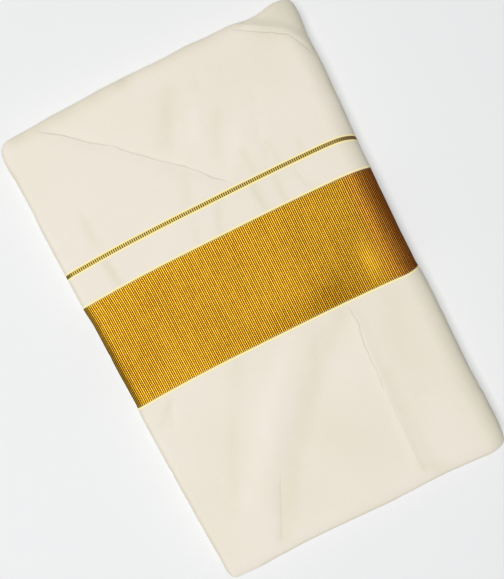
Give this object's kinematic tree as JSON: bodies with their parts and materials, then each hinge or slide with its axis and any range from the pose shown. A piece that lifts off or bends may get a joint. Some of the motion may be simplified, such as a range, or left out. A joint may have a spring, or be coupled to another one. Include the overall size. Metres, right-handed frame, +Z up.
{
  "type": "folded kasavu saree",
  "caption": "Off-white cotton saree with a broad gold zari band and a thin gold line, folded into a flat rectangular packet and lying down.",
  "frame": {"origin": "on the surface it rests on, below the centre of the packet", "axes": "+X across the packet towards its folded spine, +Y along it towards the end beyond the thin gold line, +Z up"},
  "size_m": [0.2926, 0.4507, 0.0309],
  "materials": {
    "cotton": "off-white plain-woven handloom cotton, matt with a faint sheen",
    "zari": "gold zari, ribbed metallic thread with a soft sparkle"
  },
  "bodies": {
    "root": {"plain_tail": "cotton", "kasavu_band": "zari", "plain_gap": "cotton", "kasavu_line": "zari", "plain_head": "cotton", "folded_layers": "cotton"}
  },
  "joints": []
}
